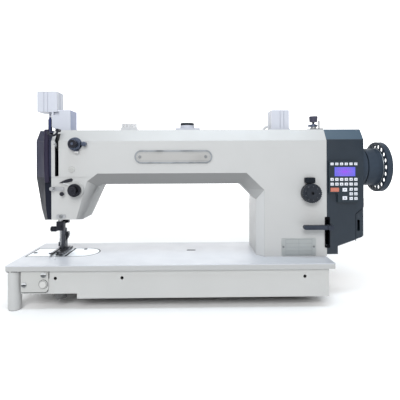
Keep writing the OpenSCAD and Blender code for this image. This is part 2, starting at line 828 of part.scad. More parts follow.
module lower_tension() {
    color(steel) place() translate([lower_point[0], 0, lower_point[1]]) {
        rod_y(face_y - 25, face_y + 6, 3);
        for (y = [face_y - 9.2, face_y - 12.4]) {
            rod_y(y, y + 2, 12.6);
        }
        rod_y(face_y - 16, face_y - 4, 5);
    }
}

module lower_tension_knob() {
    color(dark_steel) place() translate([lower_point[0], 0, lower_point[1]]) difference() {
        ribbed_knob(face_y - 24, face_y - 16.4, 7.2, 15);
        rod_y(face_y - 30, face_y, 3 + run_fit);
    }
}

module check_spring() {
    color(steel) place() translate([lower_point[0], 0, lower_point[1]]) {
        difference() {
            rod_y(face_y - 7, face_y - 4.3, 7.4);
            rod_y(face_y - 8, face_y, 5.3);
        }
        rotate([0, 20, 0]) block([-26, face_y - 6.4, 4.6], [-3, face_y - 5, 6.2]);
    }
}

leaf = [[-14, 0], [-6, -2.2], [3, -3.2], [11, -3], [13, 0], [11, 3], [3, 3.2], [-6, 2.2]];

module thread_guides() {
    color(steel) place() {
        plate_y(56, 84, arm_bottom - 11, arm_bottom - 4, 2, face_y - 2, face_y);
        translate([62, 0, arm_bottom - 7]) rod_y(face_y - 9, face_y, 1.2);
        translate([62, 0, arm_bottom - 7]) rod_y(face_y - 10, face_y - 8.4, 3.2);
        translate([81.7, 0, arm_bottom - 17]) rod_y(face_y - 7, face_y, 2);
        translate([81.7, 0, arm_bottom - 17]) rod_y(face_y - 8, face_y - 5, 4);
        plate_y(69, 87, head_bottom + 3.8, head_bottom + 11, 2, face_y - 1.6, face_y);
        translate([88.5, 0, arm_bottom + 7.5]) rotate([0, -14, 0]) slab_y(leaf, face_y - 2.4, face_y);
        translate([66, face_y - 10.5, arm_top - 3]) rotate([90, 0, 0]) rotate([0, 0, 190])
            rotate_extrude(angle = 160) translate([9.6, 0]) circle(r = 2);
        translate([75.4, 0, arm_top - 2.4]) rod_y(face_y - 13, face_y, 3.2);
    }
}

// ---- column controls ----

dial_x = column_x + 105;
dial_z = 126;
slot_x = casting_end + 0.8;
slot_z0 = 17;
slot_z1 = 78;

module stitch_dial() {
    r = dial_diameter / 2;
    color(black) place() translate([dial_x, 0, dial_z]) difference() {
        union() {
            rod_y(face_y - 14, face_y - 0.4, r);
            rod_y(face_y - 16, face_y - 13, r - 7);
            rod_y(face_y - 1, face_y + 16, 6);
        }
        rod_y(face_y - 17, face_y - 10, 3);
        for (a = [0:12:348]) {
            rotate([0, a, 0]) translate([r, 0, 0]) rod_y(face_y - 15, face_y - 5, 0.9);
        }
    }
}

module dial_pointer() {
    top = dial_z + dial_diameter / 2;
    color(black) place() plate_y(dial_x - 12, dial_x + 8, top + 0.6, top + 11.5, 3, face_y - 8, face_y);
}

reverse_pivot_y = face_y + 30;
reverse_z = 60.5;

// room for the lever in the casting and the motor cover
module lever_pocket() {
    block([slot_x - 4, face_y - 1, slot_z0 + 5], [slot_x + 4, 92, slot_z1 - 5]);
}

module reverse_lever() {
    color(dark_steel) place() {
        translate([0, reverse_pivot_y, reverse_z]) rod_x(column_x + 112, slot_x, 4);
        block([slot_x - 2.6, 34, reverse_z - 3], [slot_x + 2.6, reverse_pivot_y, reverse_z + 3]);
        translate([0, reverse_pivot_y, reverse_z]) rod_x(slot_x - 2.6, slot_x + 2.6, 7);
        plate_y(column_x + 86, slot_x - 1, reverse_z - 4, reverse_z + 4.4, 3.9, 28, 37);
        plate_y(slot_x - 6, slot_x + 5, reverse_z - 5, reverse_z + 5, 3, 27, 38);
    }
}

module slot_plate() {
    color(black) place() difference() {
        plate_y(slot_x - 5, slot_x + 5, slot_z0, slot_z1, 2, face_y - 1.5, face_y);
        block([slot_x - 3.2, face_y - 3, slot_z0 + 5], [slot_x + 3.2, face_y + 1, slot_z1 - 5]);
    }
}

// ---- on top of the arm ----

module reverse_cylinder() {
    half = 18.3;
    color(casting_colour) place() translate([column_x + 53.3, 98, arm_top]) difference() {
        union() {
            block([-half - 2, -half, 0], [half + 2, half, 4]);
            block([-half, -half, 0], [half, half, 41.5]);
        }
        for (x = [-0.3, 7.3]) {
            block([x - 0.8, -half - 1, 4], [x + 0.8, -half + 2, 42]);
        }
        for (y = [-6, 6]) {
            block([-half - 1, y - 0.8, 4], [-half + 2, y + 0.8, 42]);
        }
        translate([0, 0, 34]) cylinder(h = 10, r = 3);
    }
}

module air_tube() {
    color(casting_colour) place() translate([column_x + 31, 98, arm_top])
        rotate([90, 0, 0]) rotate([0, 0, 90])
        rotate_extrude(angle = 90) translate([9, 0]) circle(r = 3);
}

module ribbed_guide() {
    color(casting_colour) place() {
        block([189, 80, arm_top], [222, 98, arm_top + 6]);
        for (k = [0:4]) {
            block([191 + 6.4 * k, 80, arm_top + 5], [194.4 + 6.4 * k, 98, arm_top + 15]);
        }
    }
}

module filler_base() {
    color(casting_colour) place() difference() {
        union() {
            block([301, 80, arm_top], [351.5, 112, arm_top + 5]);
            translate([325, 96, arm_top]) cylinder(h = 11, r = 15);
        }
        translate([325, 96, arm_top + 2]) cylinder(h = 10, r = 11);
    }
}

module filler_cap() {
    color(black) place() translate([325, 96, arm_top]) {
        translate([0, 0, 4]) cylinder(h = 8, r = 11);
        translate([0, 0, 11]) cylinder(h = 5, r = 14.4);
    }
}

winder_x = column_x + 128;
winder_y = 98;

module winder_base() {
    color(dark_steel) place() difference() {
        union() {
            block([winder_x - 12, winder_y - 14, arm_top], [winder_x + 16, winder_y + 14, arm_top + 4]);
            translate([winder_x, winder_y, arm_top]) cylinder(h = 8, r = 6);
            translate([winder_x + 12, winder_y, arm_top]) cylinder(h = 21, r = 1.6);
        }
        translate([winder_x, winder_y, arm_top - 1]) cylinder(h = 10, r = 2.5 + run_fit);
    }
}

module winder_spindle() {
    color(black) place() translate([winder_x, winder_y, arm_top]) {
        translate([0, 0, 0.5]) cylinder(h = 18, r = 2.5);
        translate([0, 0, 18]) cylinder(h = 12, r1 = 8, r2 = 9);
    }
}

module winder_lever() {
    color(dark_steel) place() translate([winder_x, winder_y, arm_top + 8.3]) difference() {
        union() {
            cylinder(h = 5, r = 5.6);
            block([-11, -4, 0], [8, 4, 4]);
        }
        translate([0, 0, -1]) cylinder(h = 8, r = 2.5 + run_fit);
    }
}

// ---- motor and panel ----

cover_outline = [
    [casting_end, 4], [casting_end + 22, 4], [casting_end + 22, 20], [cover_end - 3, 37],
    [cover_end, 40], [cover_end, arm_top - 22], [casting_end, arm_top - 22]
];
cover_wide = [
    [casting_end, 4], [casting_end + 22, 4], [casting_end + 22, 20], [cover_end - 3, 37],
    [cover_end, 40], [cover_end, arm_top], [casting_end, arm_top]
];

module motor_cover() {
    color(slate) place() difference() {
        chamfered(cover_outline, cover_wide, face_y, arm_back_y, chamfer_y);
        chamfered(inset(cover_outline, 4), inset(cover_wide, 4), face_y + 4, arm_back_y - 4, chamfer_y);
        lever_pocket();
        translate([0, needle_y, shaft_z]) rod_x(casting_end - 1, cover_end + 1, 40);
        slab_y([[cover_end - 15.6, 30], [cover_end + 1, 30], [cover_end + 1, 98], [cover_end - 15.6, 84]],
            face_y - 1, face_y + 2.2);
        block([cover_end - 12, face_y, 49.5], [cover_end - 7, face_y + 5, 71.4]);
    }
}

panel_x = casting_end + 3;
panel_z = 107;

key_cells = concat(
    [for (k = [0:5]) [panel_x + 6 + 9.4 * k, panel_z + 76, 6, 5]],
    [for (row = [0, 1]) for (k = [0:5]) [panel_x + 6 + 9.4 * k, panel_z + 45.5 - 9.3 * row, 6.4, 5.6]],
    [for (row = [0:2]) for (k = [0, 1]) [panel_x + 43.6 + 9.4 * k, panel_z + 26 - 9.1 * row, 6.4, 5.6]],
    [for (row = [0, 1]) [panel_x + 31, panel_z + 25 - 16.3 * row, 9, 7]]
);

key_clear = 0.2;

// one key of key_cells, or with a margin the opening that it stands in
module key_block(c, margin, front) {
    half_x = c[2] / 2 + margin;
    half_z = c[3] / 2 + margin;
    block([c[0] - half_x, front, c[1] - half_z], [c[0] + half_x, face_y - 1.9, c[1] + half_z]);
}

module control_panel() {
    color(black) place() difference() {
        plate_y(panel_x, panel_x + 58, panel_z, panel_z + 82, 4, face_y - 5, face_y);
        block([panel_x - 1, face_y - 6, panel_z - 1], [panel_x + 17, face_y + 1, panel_z + 18]);
        for (c = key_cells) {
            key_block(c, key_clear, face_y - 6);
        }
        block([panel_x + 2.4, face_y - 6, panel_z + 21], [panel_x + 19.8, face_y - 1.5, panel_z + 29.6]);
        block([panel_x + 11, face_y - 6, panel_z + 51.5], [panel_x + 52.4, face_y - 4, panel_z + 70]);
    }
}

module keypad() {
    color(bed_colour) place() for (c = key_cells) {
        key_block(c, 0, face_y - 5.6);
    }
}

module orange_key() {
    color([0.85, 0.40, 0.25]) place()
        block([panel_x + 2.8, face_y - 6, panel_z + 21.4], [panel_x + 19.4, face_y - 2.4, panel_z + 29.2]);
}

module display_window() {
    color([0.45, 0.45, 0.95]) place()
        block([panel_x + 11.2, face_y - 5, panel_z + 51.7], [panel_x + 52.2, face_y - 4, panel_z + 69.8]);
}

module motor_housing() {
    color(black) place() translate([0, needle_y, shaft_z]) difference() {
        rod_x(casting_end, housing_end, 39.5);
        rod_x(casting_end - 1, casting_end + 50, 35);
        rod_x(casting_end + 49, housing_end - 8, 23);
        rod_x(housing_end - 9, housing_end + 1, shaft_diameter / 2 + run_fit);
    }
}

module handwheel() {
    r = wheel_diameter / 2;
    hub_radius = r - 13.4;
    hole_ring = r - 8.4;
    rim = 3.7;
    color(black) place() translate([0, needle_y, shaft_z]) difference() {
        union() {
            rod_x(wheel_x, flange_x + 1, hub_radius);
            rod_x(flange_x - 9, flange_x - 6, hub_radius + 0.6);
            rod_x(flange_x, flange_x + rim_width, r);
        }
        rod_x(wheel_x - 1, flange_x - 6, hub_radius - 5);
        difference() {
            rod_x(flange_x + 2, flange_x + rim_width + 1, r - rim);
            rod_x(flange_x + 1, flange_x + rim_width + 2, 16);
        }
        rod_x(flange_x - 7, flange_x - 1, shaft_diameter / 2);
        for (k = [0:wheel_holes - 1]) {
            rotate([360 / wheel_holes * k, 0, 0]) translate([0, 0, hole_ring])
                rod_x(flange_x - 1, flange_x + 3, 4.3);
        }
    }
    color(steel) place() translate([0, needle_y, shaft_z]) {
        rod_x(flange_x + rim_width, x_max, 9);
    }
}

bed_casting();
rest_post();
rubber_foot();
skirt_cover_plate();
side_button();
needle_plate();
hook_cover_plate();
feed_dog();
feed_bar();
hook();
bobbin_case();
bobbin();
lower_shaft();
lower_pulley();
upper_pulley();
timing_belt();
main_shaft();
handwheel();
motor_housing();
needle_frame();
needle_bar();
needle();
needle_clamp();
thumb_screw();
inner_foot();
presser_bar();
outer_foot();
lift_rod();
lift_cylinder();
lift_bracket();
arm_casting();
face_cover();
arm_top_cover();
badge_plate();
rating_plate();
fasteners();
take_up_lever();
upper_tension();
upper_tension_knob();
lower_tension();
lower_tension_knob();
check_spring();
thread_guides();
stitch_dial();
dial_pointer();
reverse_lever();
slot_plate();
reverse_cylinder();
air_tube();
winder_base();
winder_spindle();
winder_lever();
filler_base();
filler_cap();
ribbed_guide();
motor_cover();
control_panel();
display_window();
keypad();
orange_key();
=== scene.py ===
"""Leather sewing machine: materials, fine detail, floor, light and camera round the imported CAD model."""

import math

import bmesh
import bpy
from mathutils import Matrix, Vector


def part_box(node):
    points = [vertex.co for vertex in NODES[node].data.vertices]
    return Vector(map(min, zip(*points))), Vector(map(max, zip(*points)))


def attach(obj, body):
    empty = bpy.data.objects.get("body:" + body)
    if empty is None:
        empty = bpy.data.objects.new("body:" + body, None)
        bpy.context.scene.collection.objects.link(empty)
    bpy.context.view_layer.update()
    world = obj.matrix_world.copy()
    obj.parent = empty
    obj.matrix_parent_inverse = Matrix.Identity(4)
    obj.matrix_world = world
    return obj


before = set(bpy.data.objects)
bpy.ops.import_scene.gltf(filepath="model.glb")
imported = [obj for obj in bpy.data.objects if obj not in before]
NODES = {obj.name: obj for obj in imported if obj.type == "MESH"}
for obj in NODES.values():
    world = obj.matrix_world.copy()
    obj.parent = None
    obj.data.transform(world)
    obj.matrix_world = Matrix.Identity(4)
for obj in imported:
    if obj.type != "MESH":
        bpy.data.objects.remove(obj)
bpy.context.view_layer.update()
MM = 0.001

# ---------------------------------------------------------------- materials


class Graph:
    """A small wrapper round a material's node tree."""

    def __init__(self, name):
        self.material = bpy.data.materials.new(name)
        self.material.use_nodes = True
        self.tree = self.material.node_tree
        self.shader = self.tree.nodes["Principled BSDF"]
        self.coords = self.tree.nodes.new("ShaderNodeTexCoord")

    def node(self, kind, **settings):
        made = self.tree.nodes.new(kind)
        for key, value in settings.items():
            setattr(made, key, value)
        return made

    def link(self, source, target):
        self.tree.links.new(source, target)

    def mapping(self, scale=(1, 1, 1), rotation=(0, 0, 0)):
        made = self.node("ShaderNodeMapping")
        made.inputs["Scale"].default_value = scale
        made.inputs["Rotation"].default_value = rotation
        self.link(self.coords.outputs["Object"], made.inputs["Vector"])
        return made.outputs["Vector"]

    def noise(self, vector, scale, detail=4.0, roughness=0.5):
        made = self.node("ShaderNodeTexNoise")
        made.inputs["Scale"].default_value = scale
        made.inputs["Detail"].default_value = detail
        made.inputs["Roughness"].default_value = roughness
        self.link(vector, made.inputs["Vector"])
        return made.outputs["Fac"]

    def ramp(self, factor, stops):
        made = self.node("ShaderNodeValToRGB")
        ramp = made.color_ramp
        while len(ramp.elements) < len(stops):
            ramp.elements.new(0.5)
        for element, (place, colour) in zip(ramp.elements, stops):
            element.position = place
            element.color = (*colour, 1)
        self.link(factor, made.inputs["Fac"])
        return made.outputs["Color"]

    def spread(self, factor, low, high, from_low=0.3, from_high=0.7):
        made = self.node("ShaderNodeMapRange")
        made.inputs["From Min"].default_value = from_low
        made.inputs["From Max"].default_value = from_high
        made.inputs["To Min"].default_value = low
        made.inputs["To Max"].default_value = high
        self.link(factor, made.inputs["Value"])
        return made.outputs["Result"]

    def maths(self, operation, first, second):
        made = self.node("ShaderNodeMath", operation=operation)
        for socket, value in zip(made.inputs, (first, second)):
            if isinstance(value, (int, float)):
                socket.default_value = value
            else:
                self.link(value, socket)
        return made.outputs[0]

    def bump(self, height, strength, distance, normal=None):
        made = self.node("ShaderNodeBump")
        made.inputs["Strength"].default_value = strength
        made.inputs["Distance"].default_value = distance
        self.link(height, made.inputs["Height"])
        if normal is not None:
            self.link(normal, made.inputs["Normal"])
        return made.outputs["Normal"]

    def inside(self, low, high, soft=0.15 * MM):
        """1 within the box between two corners of the row frame, 0 outside it."""
        apart = self.node("ShaderNodeSeparateXYZ")
        self.link(self.coords.outputs["Object"], apart.inputs[0])
        mask = None
        for socket, start, end in zip(apart.outputs, low, high):
            rise = self.spread(socket, 0.0, 1.0, start - soft, start + soft)
            fall = self.spread(socket, 1.0, 0.0, end - soft, end + soft)
            span = self.maths("MULTIPLY", rise, fall)
            mask = span if mask is None else self.maths("MULTIPLY", mask, span)
        return mask

    def painted_underside_shade(self, colour, amount):
        """Painted shade: a darker colour on the faces that look down."""
        facing = self.node("ShaderNodeNewGeometry")
        apart = self.node("ShaderNodeSeparateXYZ")
        self.link(facing.outputs["Normal"], apart.inputs[0])
        self.recolour(self.spread(apart.outputs["Z"], amount, 0.0, -0.55, -0.12), colour)

    def paint(self, low, high, colour):
        """Another base colour within a box of the row frame."""
        self.recolour(self.inside(low, high), colour)

    def recolour(self, mask, colour):
        """Mixes the base colour towards another one where the mask is 1."""
        base = self.shader.inputs["Base Color"]
        mix = self.node("ShaderNodeMix", data_type="RGBA")
        self.link(mask, mix.inputs["Factor"])
        self.link(base.links[0].from_socket, mix.inputs["A"])
        mix.inputs["B"].default_value = (*colour, 1)
        self.link(mix.outputs["Result"], base)


def shade(colour, factor):
    return tuple(min(1.0, max(0.0, c * factor)) for c in colour)


def enamel(name, colour, roughness, peel=1.0, dirt=0.95, coat=0.0, specular=0.5):
    """Machine enamel: slight mottling, soft dirt, orange peel and roughness that varies with handling."""
    g = Graph(name)
    place = g.mapping()
    mottle = g.noise(place, 9.0, 5.0)
    handling = g.noise(place, 26.0, 6.0)
    g.link(g.ramp(mottle, [(0.25, shade(colour, dirt)), (0.6, colour), (0.9, shade(colour, 1.02))]),
        g.shader.inputs["Base Color"])
    g.link(g.spread(handling, roughness - 0.05, roughness + 0.09), g.shader.inputs["Roughness"])
    fine = g.bump(g.noise(place, 620.0, 2.0), 0.05 * peel, 0.0006)
    g.link(g.bump(g.noise(place, 130.0, 2.0), 0.04 * peel, 0.0012, fine), g.shader.inputs["Normal"])
    g.shader.inputs["Specular IOR Level"].default_value = specular
    g.shader.inputs["Coat Weight"].default_value = coat
    g.shader.inputs["Coat Roughness"].default_value = 0.18
    return g


def metal(name, colour, roughness, grain=(1, 1, 1), scratch=0.12, dark=0.75):
    """Bare metal: tool marks drawn out along one direction, smudges and oil."""
    g = Graph(name)
    marks = g.noise(g.mapping(grain), 900.0, 2.0)
    smudge = g.noise(g.mapping(), 45.0, 5.0)
    g.link(g.ramp(smudge, [(0.3, shade(colour, dark)), (0.55, colour), (0.85, shade(colour, 1.08))]),
        g.shader.inputs["Base Color"])
    g.shader.inputs["Metallic"].default_value = 1.0
    g.link(g.spread(smudge, roughness - 0.06, roughness + 0.12), g.shader.inputs["Roughness"])
    g.link(g.bump(marks, scratch, 0.0004), g.shader.inputs["Normal"])
    return g


def plastic(name, colour, roughness, grain=300.0, depth=0.08, coat=0.0, specular=0.5, patch=None):
    """Moulded plastic with a fine texture and faint marks; patch is a box with another colour."""
    g = Graph(name)
    place = g.mapping()
    marks = g.noise(place, 14.0, 4.0)
    handling = g.noise(place, 40.0, 6.0)
    g.link(g.ramp(marks, [(0.3, shade(colour, 0.88)), (0.6, colour), (0.9, shade(colour, 1.1))]),
        g.shader.inputs["Base Color"])
    g.link(g.spread(handling, roughness - 0.06, roughness + 0.08), g.shader.inputs["Roughness"])
    g.link(g.bump(g.noise(place, grain * 4, 2.0), depth, 0.0004), g.shader.inputs["Normal"])
    g.shader.inputs["Specular IOR Level"].default_value = specular
    g.shader.inputs["Coat Weight"].default_value = coat
    g.shader.inputs["Coat Roughness"].default_value = 0.1
    if patch:
        g.paint(*patch)
    return g.material


def rubber(name, colour):
    """Moulded rubber, dull, with pale bloom in patches."""
    g = Graph(name)
    place = g.mapping()
    g.link(g.ramp(g.noise(place, 70.0, 6.0), [(0.3, colour), (0.8, shade(colour, 2.2))]),
        g.shader.inputs["Base Color"])
    g.link(g.spread(g.noise(place, 160.0, 4.0), 0.62, 0.85), g.shader.inputs["Roughness"])
    g.link(g.bump(g.noise(place, 1500.0, 2.0), 0.15, 0.0005), g.shader.inputs["Normal"])
    return g.material


def display(name, low, high):
    """A backlit display: blue at its edges with a violet glow in the middle."""
    g = Graph(name)
    centre = (low + high) / 2
    size = high - low
    move = g.node("ShaderNodeMapping", vector_type="TEXTURE")
    move.inputs["Location"].default_value = centre
    move.inputs["Scale"].default_value = (size.x * 0.62, 1.0, size.z * 0.75)
    g.link(g.coords.outputs["Object"], move.inputs["Vector"])
    glow = g.node("ShaderNodeTexGradient", gradient_type="SPHERICAL")
    g.link(move.outputs["Vector"], glow.inputs["Vector"])
    fade = glow.outputs["Fac"]
    glass = [(0.0, (0.02, 0.02, 0.06)), (1.0, (0.04, 0.02, 0.07))]
    backlight = [(0.0, (0.10, 0.12, 0.72)), (0.4, (0.17, 0.13, 0.80)), (1.0, (0.32, 0.06, 0.86))]
    g.link(g.ramp(fade, glass), g.shader.inputs["Base Color"])
    g.link(g.ramp(fade, backlight), g.shader.inputs["Emission Color"])
    g.shader.inputs["Emission Strength"].default_value = 1.05
    g.shader.inputs["Roughness"].default_value = 0.16
    g.shader.inputs["Coat Weight"].default_value = 0.6
    return g.material


def corners(node):
    low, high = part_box(node)
    return Vector(low), Vector(high)


def islands(obj):
    """The lowest and highest corner of each loose part of a CAD node, in the row frame."""
    work = bmesh.new()
    work.from_mesh(obj.data)
    bmesh.ops.remove_doubles(work, verts=work.verts, dist=0.02 * MM)
    left = set(work.verts)
    found = []
    while left:
        stack = [left.pop()]
        part = []
        while stack:
            vert = stack.pop()
            part.append(obj.matrix_world @ vert.co)
            for edge in vert.link_edges:
                other = edge.other_vert(vert)
                if other in left:
                    left.remove(other)
                    stack.append(other)
        low = Vector([min(p[i] for p in part) for i in range(3)])
        high = Vector([max(p[i] for p in part) for i in range(3)])
        found.append((low, high))
    work.free()
    return sorted(found, key=lambda box: (-round(box[0].z, 4), box[0].x))


bed_low, bed_high = corners("bed_casting")
face_low, face_high = corners("face_cover")
bracket_low, bracket_high = corners("lift_bracket")
motor_low, motor_high = corners("motor_cover")
tension_low, tension_high = corners("upper_tension")
rod_low, rod_high = corners("lift_rod")
guide_low, guide_high = corners("thread_guides")

# The castings' sizes in millimetres, which the painted places below are counted from.
BED_LENGTH = 600
BED_DEPTH = 178
PLATE_THICK = 10
FACE_Y = 50
BEVEL_DEPTH = 16
BEVEL_HEIGHT = 22
# A margin of one millimetre on every side.
AROUND = Vector((MM, MM, MM))


def at(x, y, z):
    """A place in millimetres: x from the bed's needle end, y behind its front edge and z above its top."""
    return Vector((bed_high.x, bed_low.y, bed_high.z)) + Vector((x - BED_LENGTH, y, z)) * MM


# White castings: painted light, paler, on the column's bevel; painted shade on the faces that look down; and
# painted shade, dark, inside the head and in the take-up slot.
WHITE = (0.44, 0.445, 0.445)
HOLLOW_SHADE = (0.030, 0.032, 0.036)
HEAD_WALL = 8.4 * MM
COLUMN_BEVEL_PAINTED_LIGHT = (at(450, FACE_Y + 0.9, 1), at(477.5, FACE_Y + BEVEL_DEPTH - 0.2, 133))
TAKE_UP_SLOT = (at(65.5, FACE_Y + 0.9, 160.7), at(73.7, 67.5, 245.3))
HEAD_INSIDE = (
    (face_high.x + HEAD_WALL, face_low.y + 17 * MM, face_low.z + 13 * MM),
    (face_high.x + 26 * MM, face_high.y - HEAD_WALL, face_high.z - HEAD_WALL),
)
casting_paint = enamel("white_enamel", WHITE, 0.36, coat=0.2)
casting_paint.paint(*COLUMN_BEVEL_PAINTED_LIGHT, (0.53, 0.54, 0.545))
casting_paint.painted_underside_shade(shade(WHITE, 0.42), 0.9)
casting_paint.paint(*HEAD_INSIDE, HOLLOW_SHADE)
casting_paint.paint(*TAKE_UP_SLOT, HOLLOW_SHADE)
white_enamel = casting_paint.material

# The face cover's lower part, below the head's seam, is painted darker: painted shade where the cover turns
# inward below the seam.
SEAM_DROP = 94 * MM
cover_paint = enamel("cover_black", (0.026, 0.028, 0.054), 0.40, peel=1.2, dirt=0.85, specular=0.16)
cover_paint.paint(
    face_low - AROUND,
    (face_high.x + MM, face_high.y + MM, face_high.z - SEAM_DROP),
    (0.006, 0.008, 0.017),
)
cover_black = cover_paint.material

# The bed: a paler top, partly a finish of its own and partly painted light; a darker front edge, painted
# shade; raw iron inside; and painted shade in the tapped holes and in both recesses.
RAW_IRON_AND_SHADE = (0.035, 0.034, 0.033)
BED_TOP_TONE_AND_LIGHT = (at(-8, -1, -1.5), at(BED_LENGTH + 1, BED_DEPTH + 1, 1))
BED_FRONT_EDGE_SHADE = (at(-8, -1, 0.1 - PLATE_THICK), at(BED_LENGTH + 1, 1.0, -1.2))
BED_INSIDE = (at(27.5, 11.6, -70), at(582.5, 166.4, -9.6))
TAPPED_HOLES = (at(60, 5.35, -29), at(580, 12, -20))
PLATE_RECESS = (at(28, 60, -12), at(142, 135, -0.6))
OVAL_RECESS = (at(320, 101, -5), at(344, 113, -0.5))
bed_paint = enamel("bed_enamel", (0.455, 0.46, 0.455), 0.36, peel=0.8, coat=0.1)
bed_paint.paint(*BED_TOP_TONE_AND_LIGHT, (0.50, 0.52, 0.56))
for place in (BED_INSIDE, TAPPED_HOLES, PLATE_RECESS, OVAL_RECESS):
    bed_paint.paint(*place, RAW_IRON_AND_SHADE)
bed_paint.paint(*BED_FRONT_EDGE_SHADE, (0.385, 0.39, 0.39))
bed_enamel = bed_paint.material
skirt_white = enamel("skirt_white", (0.44, 0.445, 0.435), 0.42, peel=1.2).material

# The air cylinders' enamel is bluer, and in shade on the right of the lifting cylinder's bracket.
air_paint = enamel("air_white", (0.48, 0.50, 0.56), 0.36, peel=0.5)
air_paint.paint(
    (bracket_high.x - 0.4 * MM, bracket_low.y + MM, bracket_low.z - MM),
    bracket_high + AROUND,
    (0.17, 0.21, 0.36),
)
air_white = air_paint.material
slot_black = enamel("slot_black", (0.003, 0.003, 0.005), 0.5, dirt=0.7, specular=0.05).material

# Plastics. The motor cover's top bevel is painted lighter, a painted sheen.
motor_bevel_sheen = (
    (motor_low.x - MM, motor_low.y + 0.8 * MM, motor_high.z - (BEVEL_HEIGHT - 0.4) * MM),
    (motor_high.x + MM, motor_low.y + (BEVEL_DEPTH - 0.2) * MM, motor_high.z + MM),
    (0.046, 0.078, 0.112),
)
cover_slate = plastic(
    "cover_slate", (0.012, 0.021, 0.033), 0.40, grain=260.0, depth=0.12, specular=0.45, patch=motor_bevel_sheen)
panel_black = plastic("panel_black", (0.016, 0.026, 0.036), 0.36, grain=200.0, depth=0.05, specular=0.35)
wheel_black = plastic("wheel_black", (0.030, 0.042, 0.060), 0.46, grain=240.0, depth=0.06, specular=0.15)
knob_black = plastic("knob_black", (0.010, 0.014, 0.022), 0.38, grain=300.0, depth=0.12, specular=0.35)
tab_black = plastic("tab_black", (0.006, 0.009, 0.014), 0.38, grain=300.0, depth=0.08, specular=0.15)
front_shade_black = plastic("front_shade_black", (0.018, 0.015, 0.034), 0.36, grain=220.0, depth=0.05, specular=0.25)
key_white = plastic("key_white", (0.66, 0.68, 0.74), 0.46, grain=300.0, depth=0.08)
key_mark = plastic("key_mark", (0.05, 0.06, 0.09), 0.50)
digit_tint = plastic("digit_tint", (0.13, 0.10, 0.42), 0.30)
joint_dark = plastic("joint_dark", (0.020, 0.021, 0.024), 0.6, specular=0.02)
scale_grey = plastic("scale_grey", (0.16, 0.17, 0.19), 0.45)
button_white = plastic("button_white", (0.50, 0.50, 0.49), 0.40, grain=300.0, depth=0.08)
key_orange = plastic("key_orange", (0.46, 0.15, 0.105), 0.42, grain=300.0, depth=0.08)
clear_guide = plastic("clear_guide", (0.55, 0.56, 0.58), 0.30, grain=160.0, depth=0.06, coat=0.3)
tube_white = plastic("tube_white", (0.62, 0.63, 0.64), 0.35, grain=120.0, depth=0.05)
winder_cap = plastic("winder_cap", (0.055, 0.055, 0.085), 0.40, grain=300.0, specular=0.3)

# Metals. The upper tension's lower stub is bright, and so is the lifting rod close to its cylinder.
bright_steel = metal("bright_steel", (0.62, 0.63, 0.65), 0.26, grain=(1, 14, 1), scratch=0.10).material
plate_steel = metal("plate_steel", (0.70, 0.74, 0.78), 0.40, (1, 18, 1), 0.10, dark=0.95).material
bar_steel = metal("bar_steel", (0.46, 0.47, 0.49), 0.24, grain=(1, 1, 22), scratch=0.06).material
dark_steel = metal("dark_steel", (0.10, 0.105, 0.12), 0.34, scratch=0.22).material
black_oxide = metal("black_oxide", (0.035, 0.036, 0.045), 0.36, scratch=0.20).material
tension_steel = metal("tension_steel", (0.13, 0.155, 0.22), 0.27, scratch=0.10)
tension_steel.paint(
    tension_low - AROUND, (tension_high.x, tension_high.y, tension_low.z + 3.6 * MM), (0.75, 0.75, 0.75))
BRIGHT_LENGTH = 9 * MM
cylinder_foot = corners("lift_cylinder")[0].z
rod_steel = metal("rod_steel", (0.045, 0.055, 0.13), 0.34, scratch=0.12)
rod_steel.paint(
    (rod_low.x - MM, rod_low.y - MM, cylinder_foot - BRIGHT_LENGTH), rod_high + AROUND, (0.62, 0.64, 0.70))
PLATE_GRAIN = (1, 1, 30)
badge_silver = metal("badge_silver", (0.37, 0.37, 0.365), 0.46, PLATE_GRAIN, 0.06, 0.97).material
rating_silver = metal("rating_silver", (0.42, 0.44, 0.44), 0.46, PLATE_GRAIN, 0.06, 0.97).material
badge_rim = metal("badge_rim", (0.28, 0.30, 0.32), 0.36, scratch=0.12).material
rivet_metal = metal("rivet_metal", (0.42, 0.40, 0.36), 0.30, scratch=0.1).material
lever_steel = metal("lever_steel", (0.052, 0.060, 0.080), 0.36, grain=(20, 1, 1), scratch=0.10).material
black_rubber = rubber("black_rubber", (0.055, 0.056, 0.057))
display_glow = display("display_glow", *corners("display_window"))

# Fasteners are bright, except the blackened ones in the stitch plates and the painted plug on the head.
STITCH_PLATE_SCREWS = (at(0, 20, -4), at(200, BED_DEPTH, 4))
HEAD_PLUG = (at(90, 40, 165), at(108, FACE_Y + 2, 182))
screw_steel = metal("screw_steel", (0.24, 0.25, 0.26), 0.34, scratch=0.12)
screw_steel.paint(*STITCH_PLATE_SCREWS, (0.10, 0.11, 0.13))
screw_steel.paint(*HEAD_PLUG, (0.62, 0.63, 0.62))

# The upper half of each screw in the skirt's cover plate catches the light.
skirt_screws = [
    (low, high) for low, high in islands(NODES["fasteners"])
    if low.y < at(0, 4, 0).y and high.z < at(0, 0, -5).z
]
for low, high in skirt_screws:
    screw_steel.paint((low.x - MM, low.y - MM, (low.z + high.z) / 2), high + AROUND, (0.60, 0.61, 0.62))

# The thread guides are blackened, except the two polished ones at the foot of the face.
POLISHED_BANDS = ((-1.0, 8.5), (53.5, 63.0))
GUIDE_REACH = 34 * MM
guide_steel = metal("guide_steel", (0.035, 0.036, 0.045), 0.36, scratch=0.20)
for start, end in POLISHED_BANDS:
    guide_steel.paint(
        (guide_low.x - MM, guide_low.y - MM, guide_low.z + start * MM),
        (guide_low.x + GUIDE_REACH, guide_high.y + MM, guide_low.z + end * MM),
        (0.42, 0.43, 0.45),
    )

